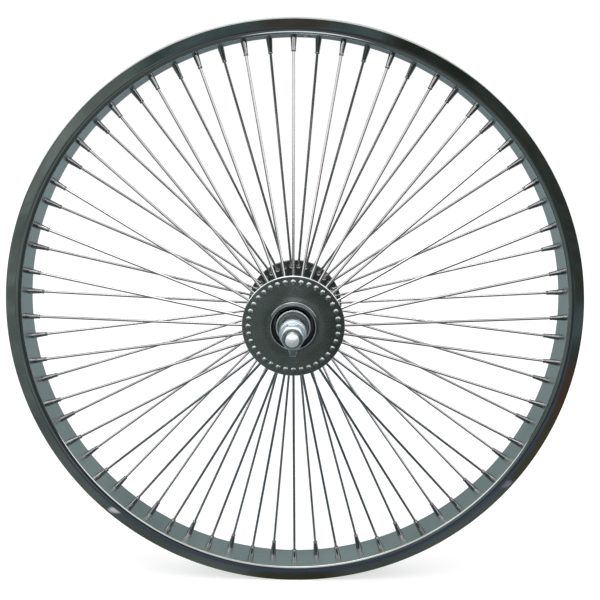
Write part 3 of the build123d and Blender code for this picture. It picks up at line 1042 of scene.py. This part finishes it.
camera_data = bpy.data.cameras.new("camera")
camera_data.lens = CAMERA_LENS
camera_data.sensor_width = CAMERA_SENSOR
camera_data.clip_start = CAMERA_CLIP
camera = add_object("camera", camera_data)
camera.location = CAMERA_PLACE
camera.rotation_euler = CAMERA_AIM.to_track_quat("-Z", "Y").to_euler()
bpy.context.scene.camera = camera


# Floor, sky and lamp

def rectangle(x, y, z):
    """Four corners. Two of x, y and z are pairs of ends, and the third is the same all over."""
    ends = [(0, 0), (1, 0), (1, 1), (0, 1)]
    if not isinstance(z, tuple):
        return [(x[first], y[second], z) for first, second in ends]
    if not isinstance(y, tuple):
        return [(x[first], y, z[second]) for first, second in ends]
    return [(x, y[first], z[second]) for first, second in ends]


def sheet(name, corners, material):
    """Flat four-cornered stage object."""
    mesh = bpy.data.meshes.new(name)
    mesh.from_pydata(corners, [], [(0, 1, 2, 3)])
    mesh.materials.append(material)
    made = add_object(name, mesh)
    return made


def floor_material():
    """Matt pale floor that reads as white and still takes the wheel's soft shadow."""
    material, tree = new_material("pale_floor")
    feed(tree, tree.nodes["Principled BSDF"], {
        "Base Color": FLOOR_TONE,
        "Roughness": FLOOR_ROUGHNESS,
        "Specular IOR Level": 0.0,
        "Emission Color": WHITE,
        "Emission Strength": calculate(tree, "MULTIPLY", seen_ray(tree), FLOOR_GLOW)})
    return material


sheet("floor", rectangle(FLOOR_ENDS, FLOOR_ENDS, FLOOR_HEIGHT), floor_material())

world = bpy.data.worlds.new("studio")
world.use_nodes = True
bpy.context.scene.world = world
sky_tree = world.node_tree
sky_level = map_range(sky_tree, seen_ray(sky_tree), (0, 1), SKY_LEVELS)
feed(sky_tree, sky_tree.nodes["Background"], {"Color": WHITE, "Strength": sky_level})

lamp_data = bpy.data.lights.new("soft_box", "AREA")
lamp_data.shape = "RECTANGLE"
lamp_data.size = LAMP_SIZE
lamp_data.size_y = LAMP_SIZE
lamp_data.energy = LAMP_POWER
lamp = add_object("soft_box", lamp_data)
lamp.location = LAMP_PLACE
lamp.rotation_euler = (-LAMP_PLACE).to_track_quat("-Z", "Y").to_euler()


# Cards that the plating mirrors

def tone_material(name, left, right, spots=(), change=TONE_CHANGE, foot_band=False):
    """Glow in a left and a right tone, mottled, with soft spots of other tones at places of the room.
    The foot band is a bluish strip in the shape of a parabola round the wheel's foot."""
    material, tree = new_material(name)
    place = tree.nodes.new("ShaderNodeNewGeometry").outputs["Position"]
    axes = add_node(tree, "ShaderNodeSeparateXYZ", {"Vector": place}).outputs
    colour = blend(tree, soft_step(tree, axes["X"], change), (*left, 1), right)
    for centre, radius, tone in spots:
        near = soft_step(tree, distance(tree, place, centre), (radius, radius * SPOT_CORE))
        colour = blend(tree, near, colour, tone)
    if foot_band:
        square = calculate(tree, "MULTIPLY", axes["X"], axes["X"])
        fall = calculate(tree, "MULTIPLY_ADD", square, FOOT_BEND, axes["Y"])
        near_side = soft_step(tree, fall, FOOT_NEAR)
        far_side = soft_step(tree, fall, FOOT_FAR)
        colour = blend(tree, calculate(tree, "MULTIPLY", near_side, far_side), colour, FOOT_BLUE)
    mottle = map_range(tree, noise(tree, place, MOTTLE_SCALE, FINE_DETAIL), NOISE_SPAN, MOTTLE_LEVELS)
    glow = add_node(tree, "ShaderNodeEmission", {"Color": colour, "Strength": mottle})
    show_only(tree, glow.outputs["Emission"])
    return material


def lamp_material(name, strength, middle, fade):
    """One-sided glow that is even in its middle and dies away at its round edge."""
    material, tree = new_material(name)
    glow = add_node(tree, "ShaderNodeEmission", {"Color": LAMP_TONE, "Strength": strength})
    clear = tree.nodes.new("ShaderNodeBsdfTransparent")
    here = tree.nodes.new("ShaderNodeNewGeometry").outputs
    edge = soft_step(tree, distance(tree, here["Position"], middle), fade)
    hidden = calculate(tree, "MAXIMUM", edge, here["Backfacing"])
    mix = add_node(tree, "ShaderNodeMixShader", {
        "Fac": hidden, 1: glow.outputs["Emission"], 2: clear.outputs["BSDF"]})
    show_only(tree, mix.outputs["Shader"])
    return material


def card(corners, material):
    """Sheet that shows only in reflections, named after its material."""
    made = sheet(material.name, corners, material)
    made.visible_camera = False
    made.visible_diffuse = False
    made.visible_shadow = False
    made.visible_transmission = False


card(rectangle(ROOM_ENDS, (FRONT, 0), CARD_HEIGHT),
     tone_material("front_ground", SLATE, DARK, GROUND_SPOTS, GROUND_CHANGE, True))
card(rectangle(ROOM_ENDS, FRONT, (CARD_HEIGHT, BAND_TOP)),
     tone_material("front_band", SLATE, DARK, BAND_SPOTS))
card(rectangle(ROOM_ENDS, (0, BACK), CARD_HEIGHT),
     tone_material("back_ground", BACK_LOW, BACK_LOW))
card(rectangle(ROOM_ENDS, BACK, (CARD_HEIGHT, BACK_SPLIT)),
     tone_material("back_low", BACK_LOW, BACK_LOW, BACK_SPOTS))
card(rectangle(ROOM_ENDS, BACK, (BACK_SPLIT, BACK_TOP)),
     tone_material("back_high", BACK_HIGH, BACK_HIGH, HIGH_SPOTS))
roof_front = [(x, ROOF_FRONT, ROOF_HEIGHT) for x in ROOM_ENDS]
roof_back = [(x, BACK, BACK_TOP) for x in reversed(ROOM_ENDS)]
card(roof_front + roof_back, tone_material("roof", BACK_HIGH, BACK_HIGH))
for name, x in (("left_wall", -SIDE_X), ("right_wall", SIDE_X)):
    card(rectangle(x, (FRONT, BACK), (CARD_HEIGHT, SIDE_TOP)), tone_material(name, TEAL, TEAL))

# The order of a bright card's corners turns its glow towards the wheel
card(rectangle(FILL_X, FILL_Y, FILL_Z), lamp_material("front_fill", FILL_STRENGTH, FILL_MIDDLE, FILL_FADE))
for name, x, heights in (("left_lamp", -SIDE_LAMP_X, SIDE_LAMP_Z),
                         ("right_lamp", SIDE_LAMP_X, SIDE_LAMP_Z[::-1])):
    card(rectangle(x, SIDE_LAMP_Y, heights),
         lamp_material(name, SIDE_LAMP_STRENGTH, (x, *SIDE_LAMP_MIDDLE), SIDE_LAMP_FADE))
card(rectangle(OVERHEAD_X, OVERHEAD_Y, OVERHEAD_HEIGHT),
     lamp_material("overhead", OVERHEAD_STRENGTH, OVERHEAD_MIDDLE, OVERHEAD_FADE))

bpy.context.scene.view_settings.view_transform = "Standard"
